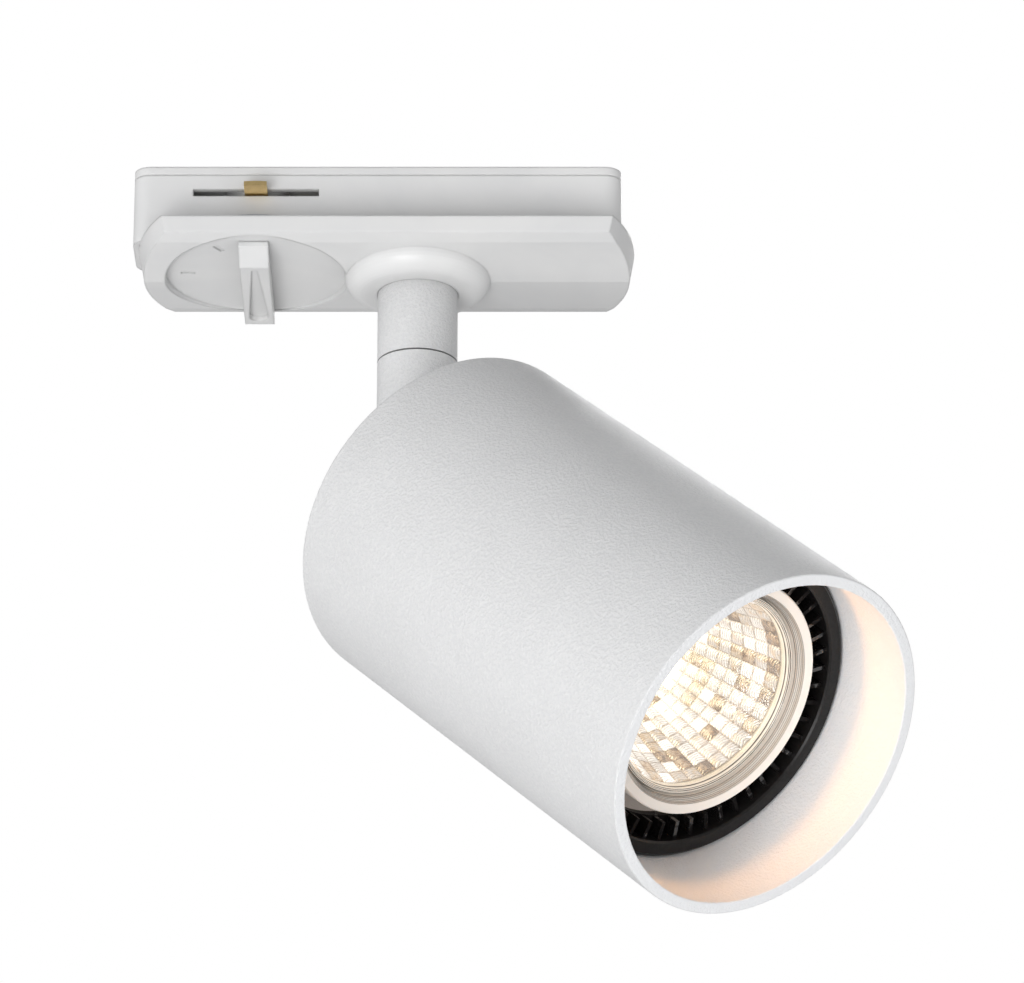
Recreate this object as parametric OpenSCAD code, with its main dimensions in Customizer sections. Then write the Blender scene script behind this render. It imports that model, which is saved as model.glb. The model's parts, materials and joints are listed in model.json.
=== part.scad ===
// Track spotlight: a cylindrical lamp head on a two-piece stem, under a
// single-circuit track adapter with a turning lock lever.
// Frame: origin on the stem axis, in the plane where the adapter meets the
// underside of the track. +Z is up into the track, +X runs along the track.

/* [Pose] */
// Direction of the head in plan, in degrees from +X
pan = -42.3; // [-165:0.1:165]
// Angle of the head below the horizontal
tilt = 39.6; // [0:0.1:90]

/* [Head] */
// Outside diameter of the head tube
head_d = 60; // [58:1:66]
// Length of the head tube
head_len = 90.6; // [86:0.2:110]
// Wall thickness of the head tube
head_wall = 2; // [1.4:0.1:2]
// Number of ribs in the baffle ring
rib_count = 48; // [36:4:60]

/* [Stem] */
// Outside diameter of both stem pieces
stem_d = 14; // [14:0.5:15]
// Height of the seam between the stem pieces, below the track
seam_drop = 20.7; // [16:0.1:24]
// Height of the tilt pivot, below the track
pivot_drop = 45.4; // [45:0.1:55]
// Distance from the tilt pivot to the back of the head
pivot_gap = 9.9; // [9.7:0.1:12]

/* [Track adapter] */
// Width of the bottom cover
cover_w = 34; // [33:0.5:38]
// Depth of the cover at its centre ridge
ridge_drop = 5.04; // [4.8:0.02:5.4]
// Diameter of the collar round the stem
collar_d = 25.6; // [24:0.2:26]
// Distance from the stem to the lock lever
lever_gap = 28.3; // [27.8:0.1:28.6]

/* [Hidden] */
$fn = 96;

eps = 0.02;             // assembly gap between faces that only touch
run = 0.05;             // radial clearance of a running fit
cut = 1;                // how far a cutting shape passes its face

// Colours
painted = "white";
moulded = "whitesmoke";
black = "#1c1c1e";
steel = "silver";
brass = "#c9a24a";
ceramic = "#ece7da";
clear = "#dfe8ea";

// Track box, the part of the adapter inside the slot
box_w = 14;
box_wall = 1.2;
box_top = 14;
box_left = -49.8;
box_right = 35.7;
base_t = 1.4;           // base plate behind the bottom cover
lid_t = 1.6;

// Bottom cover
side_drop = 3.2;        // height of the cover's side walls
crease_drop = 3.85;     // depth at the crease between edge band and roof
crease_in = 2.9;        // distance of the crease from the side
cover_wall = 1.5;
end_r_right = 38;       // plan radius of the two rounded ends
end_r_left = 33;
end_x_right = 38;
end_x_left = -48.9;
end_draft = 0.9;        // how far the ends lean in towards the bottom
collar_drop = 7.6;
collar_fillet = 3.5;

// Lock lever
recess_r = 16;
recess_drop = 3.3;      // depth of the recess floor below the track
lever_w = 5.2;
lever_near = -13.6;
lever_far = 15.7;
lever_drop = 6.5;
rotor_r = 5.5;
rotor_top = 12;
lever_pin_r = 2.4;
key_w = 3.2;            // square key between the lever and the rotor
key_top = 3.5;
wing_reach = 10.4;
wing_z = 2.3;
wing_t = 1;
wing_w = 6;
blade_reach = 11;
blade_z = 8.6;
blade_t = 0.8;
blade_w = 4;
blade_root = 2.1;       // inner end of each blade, inside the rotor
lever_head_r = 2.05;    // head of the screw down the rotor

// Swivel
stem_r = stem_d / 2;
tube_r = 4;             // swivel tube, outside and inside
tube_bore = 2.6;
tube_top = 4.4;
head_flange_r = 9;      // shoulder on the upper stem, clamped by the cover
tube_sink = 8;          // length of the swivel tube inside the lower stem
seam_gap = 0.3;
stop_pin_z = 3.2;
stop_pin_r = 0.6;
ring_groove_r = 3.5;    // groove and retaining ring at the top of the tube
ring_out_r = 5.3;
ring_z = 0.7;
ring_t = 0.8;

// Tilt joint
slot_half = 3.5;
slot_root = 8.5;        // slot end above the pivot
lug_half = 2.95;
lug_r = 6.8;
screw_r = 1.5;
screw_head_r = 2.8;
screw_seat = 4.8;
nut_seat = 4.7;
nut_flats = 5.5;
joint_half = 6.2;       // outer faces of the pivot screw and nut
groove_core = 2.5;      // cable groove in the lug, like a pulley
groove_half = 1.3;
cable_r = 1.1;
cable_off = 3.8;        // cable line beside the pivot
shank_r = 6;
shank_end = 8.6;
foot_r = 9;
foot_t = 2;
washer_front = 5.2;     // lug washer, earth tag and nut on the shank
tag_front = 5.8;

// Head, positions along the head axis from its back face
bore_r = head_d / 2 - head_wall;
plate_back = 0.6;
plate_front = 3.6;
bracket_t = 1;
socket_back = 11;
socket_face = 22.9;
socket_r = 13;
face_t = 3.2;
socket_cavity_r = 8.6;
arm_y = 14;
socket_screw_y = 10.7;
cavity_back = 14;
contact_w = 3.2;
contact_t = 0.5;
pin_off = 5;            // lamp pins, 10 mm apart
base_back = 23;         // ceramic base of the lamp
base_front = 41;
lamp_r = 25;
bowl_apex = 38;
bowl_rim = 71.6;
bowl_r = 16.6;          // bowl at its rim, inside and outside
bowl_out_r = 23;
neck_end = 43;
flange_back = 64.5;
flange_front = 69.2;
lens_r = 17.5;
rim_r = 20.6;
rim_front = 75.2;
burner_r = 4.6;
burner_front = 64.6;
ring_back = 69.3;
ring_front = 74.5;
ring_r = bore_r - 0.3;
ring_in = 21.9;
band_r = ring_r - 2.7;
trough_floor = 70.9;
rib_front = 73.4;
rib_t = 0.7;
spring_at = [30:120:270];
spring_w = 8;

// ---- placing -----------------------------------------------------------

// Swivel frame: origin at the tilt pivot, +X the way the head points in plan
module at_pivot() {
    translate([0, 0, -pivot_drop]) rotate([0, 0, pan]) children();
}

// Head frame: origin on the head's back face, +Z along the head to its mouth
module at_head() {
    at_pivot() rotate([0, 90 + tilt, 0]) translate([0, 0, pivot_gap]) children();
}

module at_lever() {
    translate([-lever_gap, 0, 0]) children();
}

// Cylinder between two heights
module rod(r, z0, z1) {
    translate([0, 0, z0]) cylinder(r = r, h = z1 - z0);
}

// Ring between two heights
module tube(r_out, r_in, z0, z1) {
    difference() {
        rod(r_out, z0, z1);
        rod(r_in, z0 - cut, z1 + cut);
    }
}

// Block centred in X and Y between two heights
module slab(x, y, z0, z1) {
    translate([-x / 2, -y / 2, z0]) cube([x, y, z1 - z0]);
}

module hex_nut(flats, r_in, z0, z1) {
    difference() {
        translate([0, 0, z0]) cylinder(d = flats / cos(30), h = z1 - z0, $fn = 6);
        rod(r_in, z0 - cut, z1 + cut);
    }
}

// Pan-head screw, driven from +Z, head standing on z = 0
module pan_screw(head_r, head_h, r, len) {
    difference() {
        rod(head_r, 0, head_h);
        slab(head_r * 1.2, 0.5, head_h - 0.5, head_h + cut);
        slab(0.5, head_r * 1.2, head_h - 0.5, head_h + cut);
    }
    rod(r, -len, 0);
}

// Countersunk screw, driven from +Z, head flush with z = 0
module sunk_screw(head_r, r, len) {
    sink = head_r - r;
    difference() {
        translate([0, 0, -sink]) cylinder(r1 = r, r2 = head_r, h = sink);
        slab(head_r * 1.2, 0.4, -0.5, cut);
        slab(0.4, head_r * 1.2, -0.5, cut);
    }
    rod(r, -len, -sink);
}

module sunk_hole(head_r, r, len) {
    sink = head_r - r;
    translate([0, 0, -sink]) cylinder(r1 = r, r2 = head_r, h = sink);
    rod(head_r, 0, cut);
    rod(r, -len, -sink + eps);
}

// Points on an arc, for profiles
function arc(cx, cy, r, a0, a1, n) =
    [for (i = [0:n]) [cx + r * cos(a0 + (a1 - a0) * i / n), cy + r * sin(a0 + (a1 - a0) * i / n)]];

// ---- track adapter -----------------------------------------------------

// One rounded end of the cover in plan: end_x is its tip, side is +1 or -1
module cover_end(inset, z0, z1, end_x, end_r, side) {
    h = z1 - z0;
    lean = end_draft * h / ridge_drop;
    intersection() {
        translate([min(0, side * 60), inset - cover_w / 2, z0]) cube([60, cover_w - 2 * inset, h]);
        translate([end_x - side * end_r, 0, z0])
            cylinder(r1 = end_r - inset - lean, r2 = end_r - inset, h = h);
    }
}

// Plan outline of the cover as a solid, moved in by inset
module cover_plan(inset, z0, z1) {
    cover_end(inset, z0, z1, end_x_right, end_r_right, 1);
    cover_end(inset, z0, z1, end_x_left, end_r_left, -1);
}

// The low roof: side walls, edge bands and a centre ridge, moved in by inset
module cover_roof(inset, top) {
    half = cover_w / 2 - inset;
    crease = cover_w / 2 - crease_in;
    section = [[half, top], [-half, top], [-half, inset - side_drop], [-crease, inset - crease_drop],
        [0, inset - ridge_drop], [crease, inset - crease_drop], [half, inset - side_drop]];
    rotate([90, 0, 90]) translate([0, 0, -60]) linear_extrude(120) polygon(section);
}

module cover_body(inset, top) {
    intersection() {
        cover_roof(inset, top);
        union() {
            cover_plan(inset, -ridge_drop, 0);
            if (top > 0) cover_plan(inset, -eps, top);
        }
    }
}

cover_screw_at = [[-8.5, 12.4], [-8.5, -12.4], [27, 11.5], [27, -11.5]];
small_screw_r = 0.9;    // thread of every small screw in the adapter
small_head_r = 1.85;
cover_post_r = 2.2;
mark_at = 12;           // distance of the place marks from the lever's axis

// Domed collar round the stem
module collar() {
    r = collar_d / 2;
    f = collar_fillet;
    profile = concat([[0, -3], [r, -3]], arc(r - f, f - collar_drop, f, 0, -90, 8), [[0, -collar_drop]]);
    rotate_extrude() polygon(profile);
}

module bottom_cover() color(moulded) {
    difference() {
        union() {
            difference() {
                cover_body(0, 0);
                at_lever() rod(recess_r, -ridge_drop - cut, -recess_drop);
            }
            collar();
        }
        // shallow marks that show the lever's two places
        at_lever() for (a = [180, 239]) rotate([0, 0, a])
            translate([mark_at, 0, 0]) slab(2.4, 0.8, -recess_drop - cut, -recess_drop + 0.3);
        difference() {
            cover_body(cover_wall, cut);
            at_lever() rod(recess_r + cover_wall, -ridge_drop, cover_wall - recess_drop);
            for (p = cover_screw_at) translate([p.x, p.y, 0]) rod(cover_post_r, -ridge_drop, -base_t - eps);
        }
        rod(stem_r + run, -collar_drop - cut, 0);
        rod(head_flange_r + eps, -base_t - 1.9, 0);
        at_lever() rod(lever_pin_r + run, -ridge_drop - cut, 0);
        for (p = cover_screw_at) translate([p.x, p.y, 0]) rod(small_screw_r, -2.9, 0);
    }
}

// Bounds of the track box with rounded ends
module box_solid(inset, z0, z1) {
    corner = 3;
    r = corner - inset;
    x0 = box_left + corner;
    x1 = box_right - corner;
    y = box_w / 2 - corner;
    translate([x0, inset - box_w / 2, z0]) cube([x1 - x0, box_w - 2 * inset, z1 - z0]);
    translate([box_left + inset, -y, z0]) cube([box_right - box_left - 2 * inset, 2 * y, z1 - z0]);
    for (x = [x0, x1], s = [-1, 1]) translate([x, s * y, 0]) rod(r, z0, z1);
}

lid_screw_x = [box_left + 5.3, box_right - 4.2];
lid_post_r = 2.6;
earth_x = 21;
ear_reach = 8.2;
earth_z = 2.22;         // underside of the earth contact
earth_t = 0.5;
nub_x = -5.7;           // nub that stops the pan joint, on a cross bar
nub_w = 1.3;
sweep_gap = 0.25;       // room above and below the moving wings and blades

module side_windows() {
    // windows that the wings and the blades sweep through
    through = box_w + 4;
    at_lever() slab(2 * wing_reach, through, wing_z - sweep_gap, wing_z + wing_t + sweep_gap);
    at_lever() slab(2 * blade_reach, through, blade_z - sweep_gap, blade_z + blade_t + sweep_gap);
    translate([earth_x, 0, 0]) slab(4.4, through, earth_z - 0.12, earth_z + earth_t + 0.18);
}

module track_box() color(moulded) {
    difference() {
        union() {
            difference() {
                union() {
                    cover_plan(cover_wall + 0.1, -base_t, 0);
                    box_solid(0, 0, box_top - lid_t);
                }
                box_solid(box_wall, 0, box_top);
                side_windows();
            }
            // posts for the lid screws and the earth spring
            for (x = lid_screw_x) translate([x, 0, 0]) rod(lid_post_r, -0.3, box_top - lid_t);
            translate([earth_x, 0, 0]) rod(3, -0.3, earth_z - eps);
            translate([nub_x - 1.5, 0.5 - box_w / 2, -0.2]) cube([1.6, box_w - 1, 4.4]);
            translate([nub_x, -nub_w / 2, 1.9]) cube([0.85, nub_w, 2.3]);
        }
        rod(tube_r + run, -base_t - cut, cut);
        at_lever() rod(lever_pin_r + 0.2, -base_t - cut, cut);
        for (x = lid_screw_x) translate([x, 0, 0]) rod(small_screw_r, 5, box_top);
        translate([earth_x, 0, 0]) rod(small_screw_r, -1, 3);
        for (p = cover_screw_at) translate([p.x, p.y, 0]) sunk_hole(small_head_r + run, small_screw_r + run, 3);
    }
}

module box_lid() color(moulded) {
    difference() {
        box_solid(0, box_top - lid_t + eps, box_top);
        at_lever() rod(3 + run, 0, box_top + cut);
        for (x = lid_screw_x) translate([x, 0, box_top]) sunk_hole(small_head_r + run, small_screw_r + run, 3);
    }
}

module lid_screws() color(steel) {
    for (x = lid_screw_x) translate([x, 0, box_top]) sunk_screw(small_head_r, small_screw_r - eps, 6);
}

module cover_screws() color(steel) {
    for (p = cover_screw_at) translate([p.x, p.y, 0]) sunk_screw(small_head_r, small_screw_r - eps, 2.85);
}

module stem_upper() color(painted) {
    difference() {
        union() {
            rod(stem_r, -seam_drop + seam_gap / 2, -base_t - 1.8);
            rod(head_flange_r, -base_t - 1.85, -base_t - eps);
        }
        rod(tube_r + run, -seam_drop - cut, 0);
    }
}

// ---- wiring in the adapter ---------------------------------------------

block_x = -13.2;
block_len = 7;
block_top = 11;
wire_z = 5.6;
wire_r = 0.75;
terminal_y = [-3, 3];
terminal_r = 1.5;
feed_y = [-1.9, 1.9];
feed_z = 4.2;

module terminal_block() color(ceramic) {
    difference() {
        translate([block_x, 0, 0]) slab(block_len, 10.8, eps, block_top);
        for (y = terminal_y) translate([block_x, y, 0]) {
            rod(terminal_r + eps, wire_z, block_top + cut);
            translate([0, 0, wire_z]) rotate([0, 90, 0]) cylinder(r = wire_r + 0.15, h = 10, center = true);
        }
    }
}

module terminal_screws() color(brass) {
    for (y = terminal_y) translate([block_x, y, block_top - 0.8]) {
        difference() {
            rod(terminal_r, -3.7, 0);
            slab(1.6 * terminal_r, 0.5, -0.5, cut);
        }
    }
}

// Brass leaves that carry current from the terminals to the rotor's blades
module feed_springs() color(brass) {
    x0 = -lever_gap + rotor_r + 0.15;
    w = 1.6;
    t = 0.4;
    for (y = feed_y) translate([x0, y - w / 2, feed_z]) {
        cube([t, w, 3.7]);
        cube([block_x - block_len / 2 - x0 - eps, w, t]);
    }
}

// Sprung earth contact, whose ears press on the track's earth strip
module earth_spring() color(steel) {
    difference() {
        union() {
            translate([earth_x, 0, 0]) slab(9, 11, earth_z, earth_z + earth_t);
            translate([earth_x, 0, 0]) slab(4, 2 * ear_reach, earth_z, earth_z + earth_t);
        }
        translate([earth_x, 0, 0]) rod(1.2, 0, 4);
    }
}

module earth_screw() color(steel) {
    translate([earth_x, 0, earth_z + earth_t + eps]) pan_screw(1.9, 1.2, small_screw_r - eps, 3);
}

// Insulated wires from the terminals to the top of the swivel tube
module supply_leads() color("saddlebrown") {
    for (y = terminal_y) translate([block_x + 1, y, wire_z]) rotate([0, 90, 0])
        cylinder(r = wire_r, h = -block_x - 2);
}

// ---- lock lever --------------------------------------------------------

// Bar under the recess, with a ramped near end and a tapered finger groove
module lock_lever() color(moulded) {
    top = -recess_drop - 0.08;
    bevel = 0.7;
    lean = 0.6;             // the far end leans in towards the recess, clear of the collar
    ramp_end = lever_near + 3;
    step_end = lever_near + 4.3;
    side = [[lever_near, top], [lever_far - lean, top], [lever_far, bevel - lever_drop],
        [lever_far - bevel, -lever_drop], [step_end, -lever_drop], [ramp_end, 0.7 - lever_drop],
        [lever_near, top - 0.9]];
    at_lever() difference() {
        union() {
            difference() {
                translate([-lever_w / 2, 0, 0]) rotate([90, 0, 90]) linear_extrude(lever_w) polygon(side);
                finger_groove();
            }
            rod(lever_pin_r, top - 0.1, 0.25);
            slab(key_w, key_w, 0.2, key_top);
        }
        rod(small_screw_r, top - 2, key_top + cut);
    }
}

// Tear-drop groove that gets wider and deeper towards the lever's far end
module finger_groove() {
    len = 20;
    narrow = 0.5;
    wide = 1.7;
    shallow = 0.15;
    slope = atan(0.8 / len);
    translate([0, -8, shallow - lever_drop]) rotate([slope, 0, 0]) translate([0, 0, -3]) linear_extrude(3) {
        polygon([[-narrow, 0], [narrow, 0], [wide, len], [-wide, len]]);
        translate([0, len]) circle(wide);
    }
}

module lock_rotor() color(moulded) {
    at_lever() difference() {
        union() {
            rod(rotor_r, 0.3, rotor_top);
            rod(3, rotor_top - eps, box_top - 0.3);
        }
        slab(key_w + 2 * eps, key_w + 2 * eps, 0, key_top + 2 * eps);
        rod(1.1, 0, box_top);
        rod(lever_head_r + run, rotor_top - 1, box_top + cut);
        slab(wing_w + 2 * eps, 2 * rotor_r + cut, wing_z - eps, wing_z + wing_t + eps);
        for (s = [-1, 1]) translate([0, s * (blade_root + 2.9), 0])
            slab(blade_w + 2 * eps, 6, blade_z - eps, blade_z + blade_t + eps);
    }
}

module lock_wings() color(steel) {
    at_lever() difference() {
        intersection() {
            slab(wing_w, 2 * wing_reach, wing_z, wing_z + wing_t);
            rod(wing_reach, 0, 10);
        }
        slab(key_w + 2 * eps, key_w + 2 * eps, 0, 5);
    }
}

module contact_blades() color(brass) {
    at_lever() for (s = [-1, 1]) {
        intersection() {
            translate([0, s * (blade_root + blade_reach) / 2, 0])
                slab(blade_w, blade_reach - blade_root, blade_z, blade_z + blade_t);
            rod(blade_reach, 0, box_top);
        }
    }
}

module lever_screw() color(steel) {
    at_lever() {
        difference() {
            rod(lever_head_r, rotor_top - 1 + eps, rotor_top + 0.2);
            slab(1.3 * lever_head_r, 0.5, rotor_top - 0.3, rotor_top + cut);
        }
        rod(small_screw_r - eps, -4, rotor_top - 1 + eps);
    }
}

// ---- swivel ------------------------------------------------------------

module stem_lower() color(painted) {
    top = pivot_drop - seam_drop - seam_gap / 2;
    at_pivot() difference() {
        intersection() {
            rod(stem_r, -stem_r, top);
            union() {
                slab(3 * stem_r, 3 * stem_r, 0, top + cut);
                rotate([90, 0, 0]) cylinder(r = stem_r, h = 3 * stem_r, center = true);
            }
        }
        slab(3 * stem_r, 2 * slot_half, -2 * stem_r, slot_root);
        rod(tube_bore, 0, top + cut);
        rod(tube_r + 0.01, top - tube_sink, top + cut);
        rotate([90, 0, 0]) cylinder(r = screw_r + run, h = 4 * stem_r, center = true);
        translate([0, -screw_seat, 0]) rotate([90, 0, 0]) cylinder(r = screw_head_r + 0.1, h = 9);
        translate([0, nut_seat, 0]) rotate([-90, 0, 0])
            cylinder(d = (nut_flats + 0.06) / cos(30), h = 9, $fn = 6);
    }
}

module swivel_tube() color(steel) {
    z0 = -seam_drop - seam_gap / 2 - tube_sink + eps;
    difference() {
        tube(tube_r, tube_bore, z0, tube_top);
        tube(tube_r + cut, ring_groove_r, ring_z - eps, ring_z + ring_t + eps);
        rotate([0, 0, pan]) translate([3, 0, stop_pin_z]) rotate([0, 90, 0]) cylinder(r = stop_pin_r, h = 3);
    }
}

// Split ring in the tube's groove
module retaining_ring() color(steel) {
    difference() {
        tube(ring_out_r, ring_groove_r, ring_z, ring_z + ring_t);
        rotate([0, 0, pan]) translate([-6, -1.2, 0]) cube([6, 2.4, 3]);
    }
}

module wave_washer() color(steel) {
    tube(ring_out_r, tube_r + 0.03, 0.05, ring_z - 2 * eps);
}

module stop_pin() color(steel) {
    rotate([0, 0, pan]) translate([3.02, 0, stop_pin_z]) rotate([0, 90, 0])
        cylinder(r = stop_pin_r, h = 2.3);
}

module seam_washer() color(black) {
    tube(stem_r - 0.5, tube_r + 0.03, eps - seam_drop - seam_gap / 2, seam_gap / 2 - seam_drop - eps);
}

// Sleeved cable down the middle of the stem
module stem_cable() color(ceramic) {
    rod(cable_r, slot_root - pivot_drop + 0.2, 2.2);
}

module pivot_screw() color(steel) {
    at_pivot() rotate([90, 0, 0]) difference() {
        union() {
            rod(screw_head_r, screw_seat + eps, joint_half);
            rod(screw_r, -joint_half, screw_seat + 1.5 * eps);
        }
        translate([0, 0, joint_half - 1]) cylinder(d = 2.5 / cos(30), h = 3, $fn = 6);
    }
}

module pivot_nut() color(steel) {
    at_pivot() rotate([-90, 0, 0]) hex_nut(nut_flats, screw_r, nut_seat + eps, joint_half);
}

module friction_washers() color("ivory") {
    for (s = [-1, 1]) at_pivot() rotate([s * 90, 0, 0])
        tube(5.6, screw_r + run, lug_half + eps, slot_half - eps);
}

// ---- head --------------------------------------------------------------

// Lug with a cable groove round its pivot and a hollow threaded shank
module tilt_lug() color(painted) {
    at_head() difference() {
        union() {
            translate([0, 0, -pivot_gap]) rotate([90, 0, 0])
                cylinder(r = lug_r, h = 2 * lug_half, center = true);
            slab(2 * lug_r, 2 * lug_half, -pivot_gap, -foot_t + 0.5);
            rod(foot_r, -foot_t, -eps);
            rod(shank_r, -foot_t, shank_end);
        }
        translate([0, 0, -pivot_gap]) rotate([90, 0, 0]) {
            cylinder(r = screw_r + run, h = 20, center = true);
            intersection() {
                tube(lug_r + cut, groove_core, -groove_half, groove_half);
                translate([-lug_r - cut, -lug_r - cut, -groove_half]) cube([lug_r + cut, 2 * (lug_r + cut), 3]);
            }
        }
        translate([-cable_off, 0, 0]) rod(1.25, -pivot_gap, 10);
    }
}

module lug_nut() color(steel) {
    at_head() hex_nut(17, shank_r, tag_front, tag_front + 2.4);
}

module tooth_washer() color(steel) {
    teeth = 16;
    at_head() difference() {
        rod(foot_r, plate_front + bracket_t + eps, washer_front - eps);
        rod(shank_r + eps, 0, 9);
        for (i = [0:teeth - 1]) rotate([0, 0, i * 360 / teeth])
            translate([8.6, 0, 0]) slab(1.6, 0.7, 0, 9);
    }
}

module earth_tag() color(brass) {
    at_head() difference() {
        union() {
            rod(8.4, washer_front, tag_front - eps);
            translate([0, -2, washer_front]) cube([13, 4, tag_front - eps - washer_front]);
        }
        rod(shank_r + eps, 0, 9);
    }
}

// Rubber sleeve where the cable leaves the shank
module cable_grommet() color(black) {
    at_head() translate([-cable_off, 0, 0]) tube(2, cable_r + eps, shank_end + eps, shank_end + 1.3);
}

module back_plate() color(painted) {
    at_head() tube(bore_r - eps, shank_r + eps, plate_back, plate_front);
    at_head() tube(foot_r + 0.5, shank_r + eps, 0, plate_back + eps);
}

// Head tube, with a soft back edge and a finely rounded lip
module head_tube() color(painted) {
    r = head_d / 2;
    back_edge = 0.6;
    lip = 0.25;
    profile = concat([[bore_r, 0]], arc(r - back_edge, back_edge, back_edge, -90, 0, 6),
        arc(r - lip, head_len - lip, lip, 0, 90, 3), arc(bore_r + lip, head_len - lip, lip, 90, 180, 3));
    at_head() rotate_extrude() polygon(profile);
}

// Bent steel strip between the back plate and the lamp socket
module holder_bracket() color(steel) {
    at_head() difference() {
        union() {
            slab(16, 2 * arm_y, plate_front + eps, plate_front + bracket_t);
            for (s = [-1, 1]) {
                translate([0, s * (arm_y - bracket_t / 2), 0])
                    slab(16, bracket_t, plate_front + eps, socket_back - eps);
                translate([0, s * (arm_y - 3), 0]) slab(9, 6, socket_back - bracket_t, socket_back - eps);
            }
        }
        rod(shank_r + eps, 0, 6);
        for (s = [-1, 1]) translate([0, s * socket_screw_y, 0]) rod(1.35, 6, 12);
    }
}

unlock_turn = 30;

// Ceramic socket with curved slots for the two lamp pins
module lamp_socket() color(ceramic) {
    at_head() difference() {
        union() {
            rod(socket_r, socket_back, socket_face - 1);
            rod(socket_r - 1, socket_face - 1.01, socket_face);
        }
        rod(socket_cavity_r, cavity_back, socket_face - face_t);
        for (s = [0, 180]) rotate([0, 0, s]) {
            // keyhole: wide where the pin goes in, narrow where it locks
            rotate([0, 0, unlock_turn]) translate([pin_off, 0, 0]) rod(2.7, 15, 30);
            translate([pin_off, 0, 0]) rod(1.7, 15, 30);
            rotate_extrude(angle = unlock_turn) translate([pin_off - 1.7, 15]) square([3.4, 15]);
            rotate([0, 0, 90]) translate([socket_screw_y, 0, 0]) rod(1.22, 0, 17);
        }
        translate([-cable_off, 0, 0]) rod(cable_r + 0.2, 10, 15);
    }
}

module socket_screws() color(steel) {
    for (s = [-1, 1]) at_head() translate([0, s * socket_screw_y, socket_back - bracket_t - eps])
        mirror([0, 0, 1]) pan_screw(2.2, 1.4, 1.2, 6.8);
}

// Sprung strips that press on the ends of the lamp pins
module socket_contacts() color(brass) {
    base = cavity_back + run;
    rise = 1.05;
    at_head() for (s = [-1, 1]) translate([s * pin_off - contact_w / 2, -4.5, base]) {
        cube([contact_w, 9, contact_t]);
        cube([contact_w, contact_t, rise + contact_t]);
        translate([0, 0, rise]) cube([contact_w, 6, contact_t]);
    }
}

module head_cable() color(ceramic) {
    at_head() translate([-cable_off, 0, 0]) rod(cable_r, -pivot_gap, cavity_back - 0.5);
}

// ---- lamp --------------------------------------------------------------

// Radius at s along a parabolic bowl that is r_rim wide at the rim
function bowl(s, r_rim) = r_rim * sqrt((s - bowl_apex) / (bowl_rim - bowl_apex));

module lamp_base() color(ceramic) {
    at_head() difference() {
        union() {
            intersection() {
                slab(16, 24, base_back, base_front);
                rod(11.6, base_back, base_front);
            }
            rod(11, 34, neck_end - eps);
        }
        rod(6, 30, neck_end + cut);
    }
}

module lamp_pins() color(steel) {
    at_head() for (s = [-1, 1]) translate([s * pin_off, 0, 0]) {
        rod(1.5, 18, base_back - eps);
        rod(2.45, 16, 19.4);
    }
}

// Pressed glass bowl of the lamp with its front flange
module lamp_reflector() color(clear) {
    steps = 10;
    inner = [for (i = [0:steps]) let (s = neck_end + (flange_front - neck_end) * i / steps)
        [bowl(s, bowl_r), s]];
    outer = [for (i = [steps:-1:0]) let (s = neck_end + (flange_back - neck_end) * i / steps)
        [bowl(s, bowl_out_r), s]];
    at_head() rotate_extrude()
        polygon(concat(inner, [[lamp_r, flange_front], [lamp_r, flange_back]], outer));
}

// Glass capsule with a domed tip, standing in the ceramic base
module lamp_burner() color(clear) {
    shoulder = burner_front - burner_r;
    at_head() {
        rod(burner_r - 1, 36, base_front);
        rod(burner_r, base_front - eps, shoulder);
        translate([0, 0, shoulder]) intersection() {
            sphere(burner_r);
            rod(burner_r + cut, -eps, burner_r + cut);
        }
    }
}

// Domed front lens
module lamp_glass() color(clear) {
    dome_r = 80;
    lens_top = bowl_rim + 2.6;
    at_head() intersection() {
        rod(lens_r, bowl_rim + eps, lens_top + cut);
        translate([0, 0, lens_top - dome_r]) sphere(dome_r, $fn = 128);
    }
}

// Front rim of the lamp, with fine concentric steps down to the lens and the seat under it
module lamp_rim() color("seashell") {
    steps = 9;
    seat_steps = 3;
    r_out = rim_r - 0.7;
    r_in = lens_r + 0.1;
    z_out = rim_front - 0.1;
    z_in = rim_front - 2;
    stair = [for (i = [0:steps - 1], k = [0, 1])
        [r_out - (r_out - r_in) * (i + k) / steps, z_out - (z_out - z_in) * i / steps]];
    seat_back = flange_front + eps;
    seat = [for (i = [seat_steps:-1:0]) let (s = seat_back + (bowl_rim - seat_back) * i / seat_steps)
        [bowl(s, bowl_r), s]];
    at_head() rotate_extrude() polygon(concat([[rim_r, seat_back], [rim_r, rim_front - 0.2],
        [rim_r - 0.2, rim_front], [r_out + 0.1, rim_front]], stair, [[r_in, bowl_rim]], seat));
}

// ---- baffle ring -------------------------------------------------------

module baffle_ring() color(black) {
    profile = [[ring_in, ring_back], [ring_r - 1, ring_back], [ring_r - 1, ring_back + 2],
        [ring_r, ring_back + 2.4], [ring_r, ring_front - 0.5], [ring_r - 0.5, ring_front],
        [band_r + 0.3, ring_front], [band_r, ring_front - 0.3], [band_r, trough_floor], [ring_in, trough_floor]];
    at_head() {
        difference() {
            rotate_extrude() polygon(profile);
            for (a = spring_at) rotate([0, 0, a]) translate([ring_r, 0, 0])
                slab(3.4, spring_w + 1, ring_back - cut, ring_back + 4);
        }
        for (i = [0:rib_count - 1]) rotate([0, 0, i * 360 / rib_count])
            translate([ring_in + 0.1, -rib_t / 2, trough_floor - 0.1])
                cube([band_r - ring_in, rib_t, rib_front - trough_floor + 0.1]);
    }
}

// Bowed leaves that hold the ring in the bore
module ring_springs() color(steel) {
    for (a = spring_at) at_head() rotate([0, 0, a])
        translate([ring_r - 1.45, 0, 0]) slab(0.4, spring_w, ring_back + 0.2, ring_back + 3.8);
}

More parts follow.
